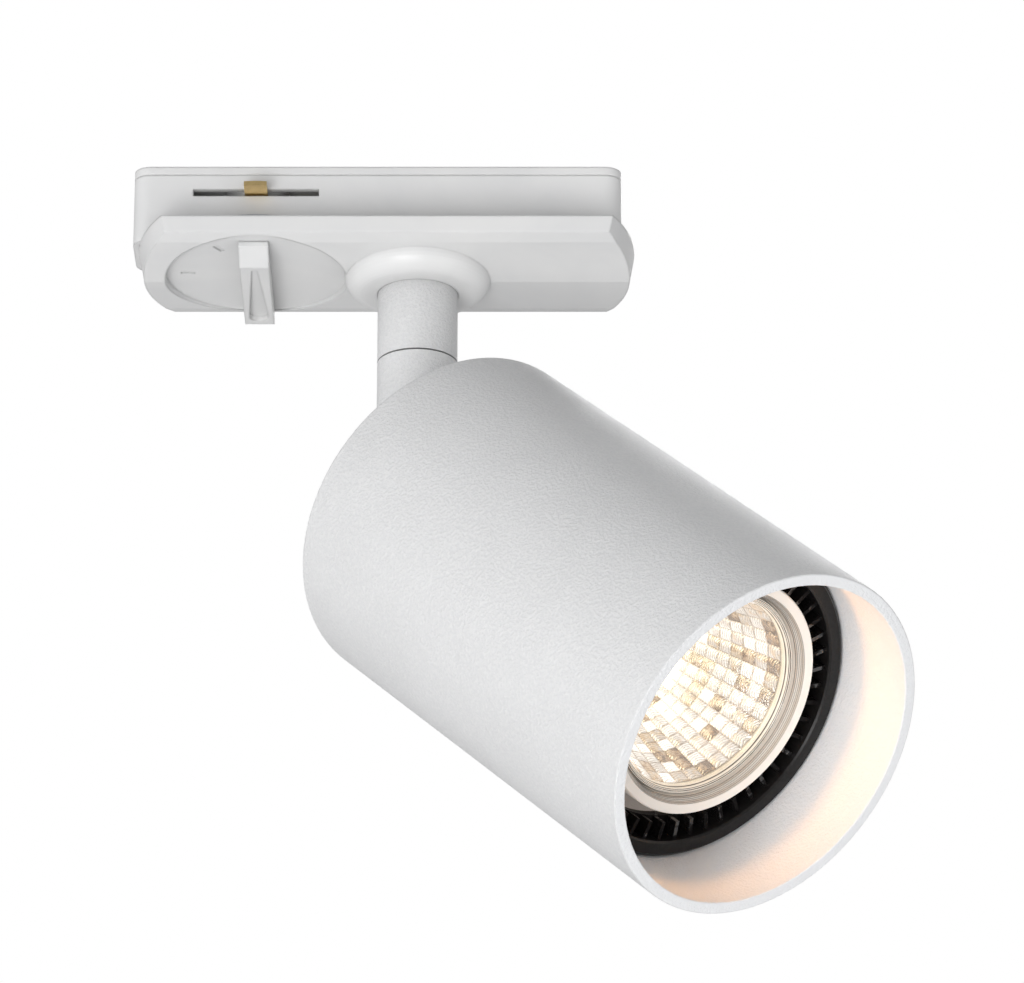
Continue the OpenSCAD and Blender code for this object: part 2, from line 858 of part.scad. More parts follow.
track_box();
box_lid();
lid_screws();
bottom_cover();
cover_screws();
stem_upper();
terminal_block();
terminal_screws();
feed_springs();
earth_spring();
earth_screw();
supply_leads();
lock_lever();
lock_rotor();
lock_wings();
contact_blades();
lever_screw();
stem_lower();
swivel_tube();
retaining_ring();
wave_washer();
stop_pin();
seam_washer();
stem_cable();
pivot_screw();
pivot_nut();
friction_washers();
tilt_lug();
lug_nut();
tooth_washer();
earth_tag();
cable_grommet();
back_plate();
head_tube();
holder_bracket();
lamp_socket();
socket_screws();
socket_contacts();
head_cable();
lamp_base();
lamp_pins();
lamp_reflector();
lamp_burner();
lamp_glass();
baffle_ring();
ring_springs();
lamp_rim();
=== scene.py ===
import json
import math
import random

import bmesh
import bpy
from mathutils import Matrix, Vector


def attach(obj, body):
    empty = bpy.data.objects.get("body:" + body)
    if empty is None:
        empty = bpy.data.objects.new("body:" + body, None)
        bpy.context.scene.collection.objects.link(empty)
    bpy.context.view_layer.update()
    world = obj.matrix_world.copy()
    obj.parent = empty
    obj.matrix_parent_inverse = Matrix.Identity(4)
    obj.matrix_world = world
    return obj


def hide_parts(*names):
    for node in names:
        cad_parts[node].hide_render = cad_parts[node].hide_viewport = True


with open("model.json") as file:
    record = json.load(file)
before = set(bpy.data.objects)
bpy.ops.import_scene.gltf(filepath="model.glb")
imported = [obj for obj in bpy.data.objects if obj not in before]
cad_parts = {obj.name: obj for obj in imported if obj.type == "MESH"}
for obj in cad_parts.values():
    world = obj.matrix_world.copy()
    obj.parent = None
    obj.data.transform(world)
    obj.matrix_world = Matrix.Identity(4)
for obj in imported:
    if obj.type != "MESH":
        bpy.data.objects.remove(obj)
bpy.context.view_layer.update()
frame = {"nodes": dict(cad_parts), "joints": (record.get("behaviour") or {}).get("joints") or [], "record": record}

NODES = frame["nodes"]
JOINTS = {j["name"]: j for j in frame["joints"]}
MM = 0.001
random.seed(7)


# ---- places, all worked out from the frame -----------------------------------------

PIVOT = Vector(JOINTS["tilt"]["pos_m"])
TILT_AXIS = Vector(JOINTS["tilt"]["axis"]).normalized()
HEAD_AXIS = Vector(JOINTS["ring_pull"]["axis"]).normalized()


def extent_along(node, origin, axis):
    """Lowest and highest distance of a node's vertices along an axis."""
    reach = [(v.co - origin).dot(axis) for v in NODES[node].data.vertices]
    return min(reach), max(reach)


def radius_about(node, origin, axis):
    """Largest distance of a node's vertices from an axis."""
    out = 0.0
    for v in NODES[node].data.vertices:
        d = v.co - origin
        out = max(out, (d - d.dot(axis) * axis).length)
    return out


# Head frame: +Z out of the mouth, +Y the tilt axis, origin on the back face
HEAD_ORIGIN = PIVOT + extent_along("head_tube", PIVOT, HEAD_AXIS)[0] * HEAD_AXIS
HEAD_R = radius_about("head_tube", PIVOT, HEAD_AXIS)
HEAD_DOWN = TILT_AXIS.cross(HEAD_AXIS).normalized()
HEAD_FRAME = Matrix.Translation(HEAD_ORIGIN) @ Matrix(
    (HEAD_DOWN, TILT_AXIS, HEAD_AXIS)
).transposed().to_4x4()


def span(node):
    """Back and front of a node along the head axis, in mm from the head's back face."""
    back, front = extent_along(node, HEAD_ORIGIN, HEAD_AXIS)
    return back / MM, front / MM


def girth(node):
    """Radius of a node about the head axis, in mm."""
    return radius_about(node, HEAD_ORIGIN, HEAD_AXIS) / MM


# The lamp hangs in its socket with a slight lean, as such lamps do
LAMP_LEAN = math.radians(-1.3)
SOCKET_FACE = span("lamp_socket")[1]
LAMP_FRAME = (
    HEAD_FRAME
    @ Matrix.Translation((0.0, 0.0, SOCKET_FACE * MM))
    @ Matrix.Rotation(LAMP_LEAN, 4, "Y")
    @ Matrix.Translation((0.0, 0.0, -SOCKET_FACE * MM))
)
RIM_BACK, RIM_FRONT = span("lamp_rim")
RIM_R = girth("lamp_rim")
LENS_BACK, LENS_FRONT = span("lamp_glass")
LENS_R = girth("lamp_glass")
BOWL_BACK = span("lamp_reflector")[0]
BURNER_FRONT = span("lamp_burner")[1]
BURNER_R = girth("lamp_burner")


# ---- material helpers ----------------------------------------------------------------


class Nodes:
    """Small helper that adds and links shader nodes."""

    def __init__(self, name):
        self.mat = bpy.data.materials.new(name)
        self.mat.use_nodes = True
        self.tree = self.mat.node_tree
        self.tree.nodes.clear()
        self.out = self.add("ShaderNodeOutputMaterial")
        self.coord = self.add("ShaderNodeTexCoord")

    def add(self, kind, **values):
        """A node, with its properties or its inputs set by name."""
        node = self.tree.nodes.new(kind)
        for key, value in values.items():
            if hasattr(node, key):
                setattr(node, key, value)
            else:
                node.inputs[key.replace("_", " ").title()].default_value = value
        return node

    def link(self, a, b):
        self.tree.links.new(a, b)

    def feed(self, socket, value):
        """Sets an input to a number or a colour, or links another node's output to it."""
        if isinstance(value, tuple):
            socket.default_value = (*value, 1.0)
        elif isinstance(value, (int, float)):
            socket.default_value = value
        else:
            self.link(value, socket)

    def noise(self, scale, detail=3.0, rough=0.5, warp=0.0):
        node = self.add("ShaderNodeTexNoise", Scale=scale, Detail=detail, Roughness=rough, Distortion=warp)
        self.link(self.coord.outputs["Object"], node.inputs["Vector"])
        return node.outputs["Fac"]

    def ramp(self, source, stops):
        """stops: list of (place, grey or colour)."""
        node = self.add("ShaderNodeValToRGB")
        ramp = node.color_ramp
        while len(ramp.elements) < len(stops):
            ramp.elements.new(0.5)
        for element, (place, value) in zip(ramp.elements, stops):
            element.position = place
            colour = value if isinstance(value, tuple) else (value, value, value)
            element.color = (*colour, 1.0)
        self.link(source, node.inputs["Fac"])
        return node.outputs["Color"]

    def math(self, operation, a, b=0.0):
        node = self.add("ShaderNodeMath", operation=operation)
        self.feed(node.inputs[0], a)
        self.feed(node.inputs[1], b)
        return node.outputs["Value"]

    def scaled(self, source, gain, offset):
        """source * gain + offset"""
        return self.math("ADD", self.math("MULTIPLY", source, gain), offset)

    def bump(self, height, strength, distance, below=None):
        node = self.add("ShaderNodeBump", Strength=strength, Distance=distance)
        self.link(height, node.inputs["Height"])
        if below is not None:
            self.link(below, node.inputs["Normal"])
        return node.outputs["Normal"]

    def principled(self, colour, roughness, normal=None, metallic=0.0):
        node = self.add("ShaderNodeBsdfPrincipled", Metallic=metallic)
        self.feed(node.inputs["Base Color"], colour)
        self.feed(node.inputs["Roughness"], roughness)
        if normal is not None:
            self.link(normal, node.inputs["Normal"])
        return node

    def attribute(self, name):
        return self.add("ShaderNodeAttribute", attribute_name=name).outputs["Fac"]

    def vector_math(self, operation, a, b=None, output="Vector"):
        node = self.add("ShaderNodeVectorMath", operation=operation)
        self.link(a, node.inputs[0])
        if b is not None:
            node.inputs[1].default_value = b
        return node.outputs[output]

    def mixed(self, factor, a, b):
        """Two shaders, mixed."""
        node = self.add("ShaderNodeMixShader")
        for socket, value in zip(node.inputs, (factor, a, b)):
            self.feed(socket, value)
        return node.outputs["Shader"]

    def blended(self, factor, a, b, blend="MIX"):
        """Two colours, mixed or multiplied."""
        mix = self.add("ShaderNodeMix", data_type="RGBA", blend_type=blend)
        for socket, value in (("Factor", factor), ("A", a), ("B", b)):
            self.feed(mix.inputs[socket], value)
        return mix.outputs["Result"]

    def within(self, origin, axis, radius):
        """1 inside a cylinder that starts at an origin, 0 outside it, in the rest frame."""
        offset = self.vector_math("SUBTRACT", self.coord.outputs["Object"], origin)
        aside = self.vector_math("CROSS_PRODUCT", offset, axis)
        distance = self.vector_math("LENGTH", aside, output="Value")
        along = self.vector_math("DOT_PRODUCT", offset, axis, output="Value")
        ahead = self.math("GREATER_THAN", along, 0.0)
        return self.math("MULTIPLY", ahead, self.math("LESS_THAN", distance, radius))

    def painted_crease_shade(self, colour, reach, depth):
        """Painted shade: the colour gets darker where two surfaces meet."""
        near = self.add("ShaderNodeAmbientOcclusion", samples=6, Distance=reach)
        return self.blended(depth, colour, near.outputs["AO"], "MULTIPLY")

    def soft_edges(self, radius):
        return self.add("ShaderNodeBevel", samples=4, Radius=radius).outputs["Normal"]

    def uv(self):
        place = self.add("ShaderNodeSeparateXYZ")
        self.link(self.coord.outputs["UV"], place.inputs["Vector"])
        return place.outputs["X"], place.outputs["Y"]

    def finish(self, shader):
        self.link(shader, self.out.inputs["Surface"])
        return self.mat


# ---- materials: noise scales are in cycles per metre, distances in metres ---------------

COAT_TONES = ((0.715, 0.72, 0.73), (0.80, 0.80, 0.80))
COAT_PAINTED_SHADE_REACH = 0.018
BORE_PAINTED_LIGHT = (0.865, 0.872, 0.885)
BORE_START = 0.03       # painted light: the coat is brighter from here to the mouth, inside and on the lip
LIP_EDGE = 0.0002

PLASTIC_TONES = ((0.745, 0.748, 0.75), (0.80, 0.80, 0.795))
PLASTIC_EDGE_R = 0.0006
PLASTIC_PAINTED_SHADE_REACH = 0.006
SCUFF_SCALE = (60.0, 1400.0, 1400.0)    # drawn out along the adapter

BLACK_TONES = ((0.005, 0.0045, 0.0045), (0.012, 0.011, 0.011))
RIB_REACH = 0.0249      # the ring's ribs end here and its plain band starts

STRAND_TURN = 0.8       # radians, one set of strands each way
STRAND_TONES = ((0.42, 0.40, 0.36), (0.80, 0.78, 0.72))


def powder_coat():
    """Fine-textured white powder coat: a pebbled surface with a soft sheen, painted shade where parts meet and
    painted light in the bore.
    """
    n = Nodes("powder_coat")
    pebble = n.noise(1900.0, detail=3.0, rough=0.6)
    patch = n.noise(90.0, detail=2.0)
    pebble_height = n.ramp(pebble, [(0.38, 0.0), (0.62, 1.0)])
    tone = n.ramp(pebble, [(0.3, COAT_TONES[0]), (0.7, COAT_TONES[1])])
    paint = n.blended(0.12, tone, n.ramp(patch, [(0.35, 0.70), (0.7, 0.84)]))
    rough = n.scaled(patch, 0.12, 0.46)
    # painted light: inside the bore and on the lip the coat takes a brighter, slightly bluish tone and no painted
    # shade
    inside = n.within(HEAD_ORIGIN + BORE_START * HEAD_AXIS, HEAD_AXIS, HEAD_R - LIP_EDGE)
    # painted shade: outside the bore the coat darkens near other parts, such as the stem below the head
    outer_tone_with_painted_shade = n.painted_crease_shade(paint, COAT_PAINTED_SHADE_REACH, depth=0.6)
    tone = n.blended(inside, outer_tone_with_painted_shade, BORE_PAINTED_LIGHT)
    shader = n.principled(tone, rough, n.bump(pebble_height, 0.6, 0.0001))
    return n.finish(shader.outputs["BSDF"])


def moulded_plastic():
    """Satin white moulded plastic with faint flow marks, hairline scuffs and painted shade where parts meet."""
    n = Nodes("moulded_white")
    flow = n.noise(35.0, detail=3.0, warp=1.5)
    grain = n.noise(4200.0, detail=1.0)
    mapping = n.add("ShaderNodeMapping", Scale=SCUFF_SCALE)
    n.link(n.coord.outputs["Object"], mapping.inputs["Vector"])
    scuff = n.add("ShaderNodeTexNoise", Scale=1.0, Detail=2.0)
    n.link(mapping.outputs["Vector"], scuff.inputs["Vector"])
    tone = n.ramp(flow, [(0.3, PLASTIC_TONES[0]), (0.7, PLASTIC_TONES[1])])
    rough = n.scaled(scuff.outputs["Fac"], 0.16, 0.27)
    normal = n.bump(grain, 0.06, 0.00003, below=n.soft_edges(PLASTIC_EDGE_R))
    # painted shade: the plastic darkens a little where parts meet
    shader = n.principled(n.painted_crease_shade(tone, PLASTIC_PAINTED_SHADE_REACH, depth=0.25), rough, normal)
    return n.finish(shader.outputs["BSDF"])


def steel(name, base, rough_low, grain_scale=700.0):
    """Plated or bare steel with a fine drawn grain and dull spots."""
    n = Nodes(name)
    grain = n.noise(grain_scale, detail=4.0, warp=0.4)
    spots = n.noise(160.0, detail=2.0)
    tone = n.ramp(grain, [(0.3, tuple(0.86 * c for c in base)), (0.7, base)])
    rough = n.scaled(spots, 0.22, rough_low)
    shader = n.principled(tone, rough, n.bump(grain, 0.08, 0.00004), metallic=1.0)
    return n.finish(shader.outputs["BSDF"])


def matte(name, base, low, rough, scale, bump=0.2):
    """A dull moulded or fired surface: tone and roughness follow a fine grain."""
    n = Nodes(name)
    grain = n.noise(scale, detail=4.0)
    patch = n.noise(scale / 14.0, detail=2.0)
    tone = n.ramp(patch, [(0.3, low), (0.7, base)])
    shader = n.principled(tone, n.scaled(grain, 0.18, rough), n.bump(grain, bump, 0.00005))
    return n.finish(shader.outputs["BSDF"])


def black_plastic():
    """Dark moulded plastic; the gloss of its ribs comes and goes, so that they glint in spots."""
    n = Nodes("black_plastic")
    ribs = n.within(HEAD_ORIGIN, HEAD_AXIS, RIB_REACH)
    spots = n.math("MULTIPLY", ribs, n.noise(330.0, detail=2.0, warp=0.6))
    grain = n.noise(1800.0, detail=3.0)
    tone = n.ramp(grain, [(0.3, BLACK_TONES[0]), (0.7, BLACK_TONES[1])])
    rough = n.ramp(spots, [(0.42, 0.30), (0.62, 0.08)])
    gloss = n.ramp(spots, [(0.0, 0.28), (0.3, 0.05), (0.52, 0.05), (0.60, 1.0)])
    shader = n.principled(tone, rough, n.bump(grain, 0.25, 0.00005))
    n.link(gloss, shader.inputs["Specular IOR Level"])
    return n.finish(shader.outputs["BSDF"])


def woven_sleeve():
    """Braided glass-fibre sleeve: two crossing sets of strands."""
    n = Nodes("woven_sleeve")
    strands = []
    for turn in (STRAND_TURN, -STRAND_TURN):
        mapping = n.add("ShaderNodeMapping", Rotation=(turn, turn, 0.0))
        n.link(n.coord.outputs["Object"], mapping.inputs["Vector"])
        wave = n.add("ShaderNodeTexWave", Scale=520.0, Distortion=0.4)
        n.link(mapping.outputs["Vector"], wave.inputs["Vector"])
        strands.append(wave.outputs["Fac"])
    height = n.math("MAXIMUM", *strands)
    tone = n.ramp(height, [(0.2, STRAND_TONES[0]), (0.8, STRAND_TONES[1])])
    shader = n.principled(tone, 0.75, n.bump(height, 0.6, 0.0001))
    return n.finish(shader.outputs["BSDF"])


# ---- lamp materials ----------------------------------------------------------------------

ARCS_PER_FACET = 34.0       # phase of the pressed arcs across one facet
ARC_CENTRE = (0.5, -0.35)   # in facet widths, beyond the facet's edge
FACET_METAL = (0.30, 0.295, 0.29)
FACET_TINTS = [
    (0.0, (0.22, 0.15, 0.11)), (0.10, (0.58, 0.38, 0.24)), (0.22, (0.86, 0.68, 0.48)),
    (0.34, (0.84, 0.77, 0.72)), (0.58, (1.0, 0.985, 0.97)),
]
ARC_TINTS = [(0.0, (0.36, 0.30, 0.24)), (0.16, (0.82, 0.78, 0.72)), (0.32, 1.0)]
OUTLINE_TINTS = [(0.0, (0.40, 0.33, 0.28)), (0.07, (0.72, 0.66, 0.60)), (0.12, 1.0)]
PAINTED_GLOW_GAIN = 2.4
GROOVE_PAINTED_SHADE_REACH = 0.0006


def mirror_facets():
    """Dichroic mirror with the burner's light painted on it as glow: each facet has its own tone, a thin dark
    outline and pressed arcs.
    """
    n = Nodes("mirror_facets")
    x, y = n.uv()
    cell = n.attribute("tone")
    u = n.math("SUBTRACT", x, ARC_CENTRE[0])
    v = n.math("SUBTRACT", y, ARC_CENTRE[1])
    away = n.math("SQRT", n.math("ADD", n.math("MULTIPLY", u, u), n.math("MULTIPLY", v, v)))
    wobble = n.math("MULTIPLY", n.noise(1100.0, detail=3.0), 9.0)
    arcs = n.math("SINE", n.math("ADD", n.math("MULTIPLY", away, ARCS_PER_FACET), wobble))
    line = n.ramp(n.scaled(arcs, 0.5, 0.5), ARC_TINTS)
    border = n.math("MINIMUM", n.math("PINGPONG", x, 0.5), n.math("PINGPONG", y, 0.5))
    outline = n.ramp(border, OUTLINE_TINTS)
    spread = n.scaled(n.noise(620.0, detail=4.0, rough=0.65), 1.1, -0.55)
    tint = n.ramp(n.math("ADD", cell, spread), FACET_TINTS)
    strong = n.ramp(n.math("ADD", cell, n.noise(160.0)), [(0.45, 0.25), (1.1, 0.9)])
    pressed = n.blended(0.8, n.blended(strong, tint, line, "MULTIPLY"), outline, "MULTIPLY")
    # painted light: every facet glows by emission as if lit by the burner, and the glow attribute adds the
    # burner's painted hot spot and streaks
    painted_sparkle = n.ramp(cell, [(0.0, 0.60), (0.80, 0.80), (0.90, 1.15)])
    lit = n.math("ADD", n.math("MULTIPLY", n.attribute("glow"), PAINTED_GLOW_GAIN), painted_sparkle)
    shader = n.principled(FACET_METAL, 0.14, n.bump(arcs, 0.5, 0.0001), metallic=1.0)
    n.link(pressed, shader.inputs["Emission Color"])
    n.link(lit, shader.inputs["Emission Strength"])
    return n.finish(shader.outputs["BSDF"])


def clear_glass(name, tint):
    """Thin clear glass: straight-through view with a gloss that grows towards its edges."""
    n = Nodes(name)
    through = n.add("ShaderNodeBsdfTransparent", Color=(*tint, 1.0))
    shine = n.add("ShaderNodeBsdfGlossy", Color=(1.0, 1.0, 1.0, 1.0))
    smear = n.noise(140.0, detail=3.0)
    n.link(n.scaled(smear, 0.05, 0.03), shine.inputs["Roughness"])
    n.link(n.bump(smear, 0.08, 0.0001), shine.inputs["Normal"])
    facing = n.add("ShaderNodeLayerWeight", Blend=0.5).outputs["Facing"]
    share = n.scaled(n.math("POWER", facing, 4.0), 0.6, 0.03)
    return n.finish(n.mixed(share, through.outputs["BSDF"], shine.outputs["BSDF"]))


def glass_ring_with_painted_glow(name, base, dark, lines, strength, rough):
    """Pressed glass with a painted glow for the light it carries: thin darker rings over a warm base, with painted
    shade in its grooves.
    """
    n = Nodes(name)
    along = n.uv()[1]
    wave = n.math("SINE", n.math("MULTIPLY", along, math.tau * lines))
    grain = n.noise(500.0, detail=3.0)
    rings = n.math("ADD", n.scaled(wave, 0.4, 0.4), n.math("MULTIPLY", grain, 0.2))
    # painted shade: the grooves darken where their faces meet
    tone = n.painted_crease_shade(n.ramp(rings, [(0.12, dark), (0.5, base)]), GROOVE_PAINTED_SHADE_REACH, depth=0.85)
    shader = n.principled(tone, n.scaled(grain, 0.12, rough), n.bump(grain, 0.15, 0.00005))
    # painted light: the ring glows by emission, standing in for the burner's light carried through the glass
    n.link(tone, shader.inputs["Emission Color"])
    shader.inputs["Emission Strength"].default_value = strength
    return n.finish(shader.outputs["BSDF"])


def hot_glass(name, centre, edge, strength):
    """Hot glass: white-hot where it faces the viewer, yellower towards its edge."""
    n = Nodes(name)
    facing = n.add("ShaderNodeLayerWeight", Blend=0.4).outputs["Facing"]
    haze = n.noise(420.0, detail=2.0)
    tint = n.ramp(n.math("ADD", facing, n.math("MULTIPLY", haze, 0.2)), [(0.25, centre), (0.9, edge)])
    shader = n.add("ShaderNodeEmission", Strength=strength)
    n.link(tint, shader.inputs["Color"])
    return n.finish(shader.outputs["Emission"])


FACETS = mirror_facets()
LENS_GLASS = clear_glass("lens_glass", (0.98, 0.97, 0.95))
EDGE_GLASS = glass_ring_with_painted_glow("edge_glass", (0.70, 0.65, 0.58), (0.05, 0.04, 0.03), 7.0, 0.22, 0.05)
RIM_GLASS = glass_ring_with_painted_glow("rim_glass", (0.76, 0.72, 0.67), (0.62, 0.54, 0.47), 2.0, 0.18, 0.30)
HOT_GLASS = hot_glass("hot_glass", (1.0, 0.93, 0.72), (1.0, 0.66, 0.28), 5.0)


# ---- finishes of the CAD nodes, by the record's material slots ---------------------------

ZINC = steel("zinc_steel", (0.72, 0.73, 0.76), 0.22)
FINISHES = {
    "powder_coat": powder_coat(),
    "moulded_white": moulded_plastic(),
    "zinc_steel": ZINC,
    "spring_steel": steel("spring_steel", (0.60, 0.61, 0.64), 0.18, 1200.0),
    "brass": steel("brass", (0.80, 0.60, 0.28), 0.20),
    "ceramic": matte("ceramic", (0.80, 0.77, 0.70), (0.70, 0.67, 0.60), 0.5, 1500.0, 0.35),
    "black_plastic": black_plastic(),
    "nylon": matte("nylon", (0.72, 0.70, 0.62), (0.64, 0.62, 0.54), 0.35, 900.0),
    "rubber": matte("rubber", (0.02, 0.02, 0.02), (0.012, 0.012, 0.012), 0.6, 1600.0),
    "black_washer": matte("seam_washer", (0.05, 0.05, 0.052), (0.03, 0.03, 0.03), 0.5, 1600.0),
    "wire_sleeve": matte("wire_sleeve", (0.24, 0.11, 0.05), (0.17, 0.08, 0.04), 0.3, 1100.0),
    "cable_sleeve": woven_sleeve(),
    "lamp_glass": LENS_GLASS,
    "bright_rim": RIM_GLASS,
}
for part in frame["record"]["subparts"]:
    part_materials = NODES[part["node"]].data.materials
    part_materials.clear()
    part_materials.append(FINISHES.get(part["material_slot"], ZINC))


# ---- lamp, built in mesh code; sizes and places in mm ---------------------------------------

ROUND_SEGMENTS = 144
GROOVED_SEGMENTS = 192

# Faceted mirror
FACET_SECTORS = 38          # facets round the bowl
FACET_GRID = 4              # faces along a facet's side
FACET_LEN = 2.6             # at the rim; they get shorter towards the neck
FACET_SWELL = 0.16
RIM_SCALLOP = -0.22         # outwards, so the mirror's rim is scalloped
BOWL_RIM_R = LENS_R - 0.9
BOWL_RIM = LENS_BACK - 0.05
BOWL_APEX = BOWL_BACK - 5.0
NECK_FRONT = BOWL_BACK + 1.0

# Outside of the bowl
FLANGE_LEN = 3.5
SHOULDER_DROP = 1.2
SHOULDER_LEN = 4.6
NECK_WALL = 2.6
SHELL_STEPS = 4

# Light that the burner throws: a lamp at this place, and its light painted on the mirror's facets as glow
SOURCE_PLACE = Vector((1.9, -0.9, BURNER_FRONT - 3.0)) * MM
CORE_REACH = 6.5
RAYS = 5                    # painted streaks of the burner's light across the facets
RAY_TURN = 0.9
RAY_SHARE = 0.35
RAY_REACH = 15.0

# Front glass, its thick edge, the front rim and the burner's capsule
LENS_THICKNESS = 0.5
LENS_EDGE_RISE = 0.9
LENS_STEPS = 8
BEAD_HEIGHT = 1.5
BEAD_RIDGE = 0.10
BEAD_RIDGES = 4.0
BEAD_STEPS = 30
RIM_GROOVES = 6
RIM_FLAT = 1.7
RIM_DROP = 1.5
GROOVE_DEPTHS = (0.10, 0.55)    # outermost and innermost
TIP_R, TIP_LEN = 0.9, 1.0
CAPSULE_STEPS = 10


def new_piece(name, bm, material, crease=None):
    """Turns a bmesh in the row frame into an object that rides with the lamp."""
    bmesh.ops.recalc_face_normals(bm, faces=bm.faces)
    mesh = bpy.data.meshes.new(name)
    bm.to_mesh(mesh)
    bm.free()
    for face in mesh.polygons:
        face.use_smooth = True
    if crease is not None:
        mesh.set_sharp_from_angle(angle=math.radians(crease))
    mesh.materials.append(material)
    obj = bpy.data.objects.new(name, mesh)
    bpy.context.scene.collection.objects.link(obj)
    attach(obj, "lamp")
    return obj


def ring_of_vertices(bm, radius, place, segments):
    """Vertices round the lamp's axis; one vertex on it where the radius is nothing."""
    if radius < 1e-6:
        return [bm.verts.new(LAMP_FRAME @ Vector((0.0, 0.0, place * MM)))]
    ring = []
    for k in range(segments):
        a = math.tau * k / segments
        point = Vector((radius * math.cos(a), radius * math.sin(a), place))
        ring.append(bm.verts.new(LAMP_FRAME @ (point * MM)))
    return ring


def lathe(name, profile, material, segments=ROUND_SEGMENTS, crease=32.0):
    """Closed ring of faces round the lamp's axis from (radius, place) points."""
    bm = bmesh.new()
    uv = bm.loops.layers.uv.new("UVMap")
    rings = [ring_of_vertices(bm, radius, place, segments) for radius, place in profile]
    count = len(rings)
    for i, low in enumerate(rings):
        high = rings[(i + 1) % count]
        if len(low) == 1 and len(high) == 1:
            continue
        for k in range(segments):
            n = (k + 1) % segments
            corners = {}
            for ring, step, mark in ((low, k, (k, i)), (low, n, (k + 1, i)),
                                     (high, n, (k + 1, i + 1)), (high, k, (k, i + 1))):
                corners.setdefault(ring[step % len(ring)], mark)
            face = bm.faces.new(list(corners))
            for corner, (across, along) in zip(face.loops, corners.values()):
                corner[uv].uv = (across / segments, along / count)
    return new_piece(name, bm, material, crease)


def bowl_radius(place):
    """The mirror is a paraboloid."""
    return BOWL_RIM_R * math.sqrt((place - BOWL_APEX) / (BOWL_RIM - BOWL_APEX))


def facet_borders():
    """(place, radius) of the borders between rows of facets, from the rim down to the neck."""
    places = [BOWL_RIM]
    while places[-1] >= NECK_FRONT:
        radius = bowl_radius(places[-1])
        slope = BOWL_RIM_R ** 2 / (2.0 * radius * (BOWL_RIM - BOWL_APEX))
        size = FACET_LEN * (0.45 + 0.55 * radius / BOWL_RIM_R)
        places.append(places[-1] - size / math.sqrt(1.0 + slope * slope))
    return [(place, bowl_radius(place)) for place in places[:-1]]


def facet_point(front, back, v, column, lift):
    """A point between two row borders, on a facet that swells towards the axis by lift."""
    (place_a, radius_a), (place_b, radius_b) = front, back
    sector, step = divmod(column, FACET_GRID)
    u = step / FACET_GRID
    radius = radius_a + (radius_b - radius_a) * v
    place = place_a + (place_b - place_a) * v
    start = math.tau * sector / FACET_SECTORS
    end = math.tau * (sector + 1) / FACET_SECTORS
    x = radius * (math.cos(start) + (math.cos(end) - math.cos(start)) * u)
    y = radius * (math.sin(start) + (math.sin(end) - math.sin(start)) * u)
    inwards = Vector((place_a - place_b, radius_a - radius_b)).normalized()
    swell = lift * (1.0 - (2.0 * u - 1.0) ** 2)
    scale = 1.0 - inwards.x * swell / radius
    return LAMP_FRAME @ (Vector((x * scale, y * scale, place + inwards.y * swell)) * MM)


def mirror_rings(bm, columns):
    """Rings of vertices over the facets, from the mirror's rim down to the neck."""
    borders = facet_borders()
    rows = len(borders) - 1
    rings = []
    for m in range(rows * FACET_GRID + 1):
        row = min(m // FACET_GRID, rows - 1)
        v = m / FACET_GRID - row
        front, back = borders[row], borders[row + 1]
        lift = FACET_SWELL * (front[1] / BOWL_RIM_R) * (1.0 - (2.0 * v - 1.0) ** 2)
        if m == 0:
            lift = RIM_SCALLOP
        rings.append([bm.verts.new(facet_point(front, back, v, c, lift)) for c in range(columns)])
    return rings


def shell_profile():
    """Outside of the bowl, from the lens seat over the flange to the neck."""
    seat = RIM_BACK - 0.1
    shoulder_r, shoulder = RIM_R - SHOULDER_DROP, RIM_BACK - SHOULDER_LEN
    neck_r = bowl_radius(NECK_FRONT) + NECK_WALL
    points = [(BOWL_RIM_R + 0.75, BOWL_RIM + 0.05), (BOWL_RIM_R + 0.8, seat), (RIM_R, seat),
              (RIM_R, RIM_BACK - FLANGE_LEN), (shoulder_r, shoulder)]
    for k in range(1, SHELL_STEPS + 1):
        t = k / SHELL_STEPS
        radius = shoulder_r + (neck_r - shoulder_r) * t ** 1.4
        points.append((radius, shoulder + (BOWL_BACK - shoulder) * t))
    return points


def painted_glow_at(point):
    """How strongly the burner's light is painted on a facet, from its distance and the streaks it throws."""
    away = (LAMP_FRAME.inverted() @ point - SOURCE_PLACE) / MM
    streak = max(0.0, math.cos(RAYS * math.atan2(away.y, away.x) + RAY_TURN)) ** 3
    core = math.exp(-(away.length / CORE_REACH) ** 2)
    return core + RAY_SHARE * streak * math.exp(-(away.length / RAY_REACH) ** 2)


